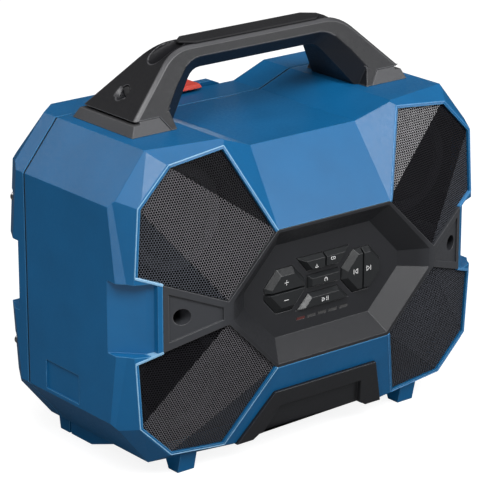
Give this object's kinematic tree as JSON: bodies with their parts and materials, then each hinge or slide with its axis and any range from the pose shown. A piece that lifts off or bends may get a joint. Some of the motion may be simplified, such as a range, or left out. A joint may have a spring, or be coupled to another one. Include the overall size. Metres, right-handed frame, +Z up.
{
  "type": "jobsite speaker",
  "caption": "Rugged jobsite speaker: faceted case, folded perforated grilles, dished key panel, fixed carry handle and a hinged rear battery door.",
  "frame": {"origin": "on the floor under the middle of the object's width and depth", "axes": "+X to the right seen from the front, +Y to the rear, +Z up"},
  "size_m": [0.362, 0.2088, 0.326],
  "materials": {
    "shell_blue": "fine moulded grain, satin",
    "panel_black": "fine moulded grain, satin",
    "key_black": "satin with pale printed signs",
    "handle_grey": "moulded grain",
    "cap_grey": "moulded grain",
    "rubber_black": "soft matt rubber",
    "grille_metal": "powder coat, satin",
    "latch_red": "satin",
    "steel": "zinc plated",
    "driver_steel": "black paint",
    "cone_black": "matt",
    "inner_black": "matt",
    "board_green": "solder mask",
    "contact_brass": "bright",
    "light_pipe": "milky"
  },
  "bodies": {
    "case": {"front_shell": "shell_blue", "rear_shell": "shell_blue", "case_seal": "rubber_black", "grille_upper_left": "grille_metal", "grille_upper_right": "grille_metal", "grille_lower_left": "grille_metal", "grille_lower_right": "grille_metal", "control_panel": "panel_black", "charge_lights": "light_pipe", "control_board": "board_green", "front_bumper": "panel_black", "speaker_baffle": "inner_black", "driver_frame_upper_left": "driver_steel", "driver_frame_upper_right": "driver_steel", "driver_frame_lower_left": "driver_steel", "driver_frame_lower_right": "driver_steel", "driver_magnet_upper_left": "driver_steel", "driver_magnet_upper_right": "driver_steel", "driver_magnet_lower_left": "driver_steel", "driver_magnet_lower_right": "driver_steel", "handle_frame": "handle_grey", "handle_grip": "rubber_black", "handle_cap_left": "cap_grey", "handle_cap_right": "cap_grey", "handle_bolts": "steel", "handle_screws": "steel", "panel_screws": "steel", "baffle_screws": "steel", "case_screws": "steel", "battery_bay": "inner_black", "battery_contacts": "contact_brass", "main_board": "board_green", "hinge_pin": "steel"},
    "key_volume_up": {"key_volume_up": "key_black"},
    "key_volume_down": {"key_volume_down": "key_black"},
    "key_wireless": {"key_wireless": "key_black"},
    "key_link": {"key_link": "key_black"},
    "key_power": {"key_power": "key_black"},
    "key_play": {"key_play": "key_black"},
    "key_previous": {"key_previous": "key_black"},
    "key_next": {"key_next": "key_black"},
    "cone_upper_left": {"driver_cone_upper_left": "cone_black"},
    "cone_upper_right": {"driver_cone_upper_right": "cone_black"},
    "cone_lower_left": {"driver_cone_lower_left": "cone_black"},
    "cone_lower_right": {"driver_cone_lower_right": "cone_black"},
    "door": {"battery_door": "shell_blue", "door_seal": "rubber_black", "latch_pin": "steel"},
    "latch": {"door_latch": "latch_red"}
  },
  "joints": [
    {"name": "press_volume_up", "type": "slide", "parent": "case", "child": "key_volume_up", "axis": [0, 1, 0], "range_m": [0, 0.001], "stiffness_N_per_m": 300},
    {"name": "press_volume_down", "type": "slide", "parent": "case", "child": "key_volume_down", "axis": [0, 1, 0], "range_m": [0, 0.001], "stiffness_N_per_m": 300},
    {"name": "press_wireless", "type": "slide", "parent": "case", "child": "key_wireless", "axis": [0, 1, 0], "range_m": [0, 0.001], "stiffness_N_per_m": 300},
    {"name": "press_link", "type": "slide", "parent": "case", "child": "key_link", "axis": [0, 1, 0], "range_m": [0, 0.001], "stiffness_N_per_m": 300},
    {"name": "press_power", "type": "slide", "parent": "case", "child": "key_power", "axis": [0, 1, 0], "range_m": [0, 0.001], "stiffness_N_per_m": 300},
    {"name": "press_play", "type": "slide", "parent": "case", "child": "key_play", "axis": [0, 1, 0], "range_m": [0, 0.001], "stiffness_N_per_m": 300},
    {"name": "press_previous", "type": "slide", "parent": "case", "child": "key_previous", "axis": [0, 1, 0], "range_m": [0, 0.001], "stiffness_N_per_m": 300},
    {"name": "press_next", "type": "slide", "parent": "case", "child": "key_next", "axis": [0, 1, 0], "range_m": [0, 0.001], "stiffness_N_per_m": 300},
    {"name": "stroke_upper_left", "type": "slide", "parent": "case", "child": "cone_upper_left", "axis": [0, 1, 0], "range_m": [-0.002, 0.002], "stiffness_N_per_m": 1500},
    {"name": "stroke_upper_right", "type": "slide", "parent": "case", "child": "cone_upper_right", "axis": [0, 1, 0], "range_m": [-0.002, 0.002], "stiffness_N_per_m": 1500},
    {"name": "stroke_lower_left", "type": "slide", "parent": "case", "child": "cone_lower_left", "axis": [0, 1, 0], "range_m": [-0.002, 0.002], "stiffness_N_per_m": 1500},
    {"name": "stroke_lower_right", "type": "slide", "parent": "case", "child": "cone_lower_right", "axis": [0, 1, 0], "range_m": [-0.002, 0.002], "stiffness_N_per_m": 1500},
    {"name": "door_hinge", "type": "hinge", "parent": "case", "child": "door", "pos_m": [0, 0.0967, 0.042], "axis": [-1, 0, 0], "range_deg": [0, 95]},
    {"name": "latch_hinge", "type": "hinge", "parent": "door", "child": "latch", "pos_m": [0, 0.0994, 0.2386], "axis": [-1, 0, 0], "range_deg": [0, 60]}
  ]
}
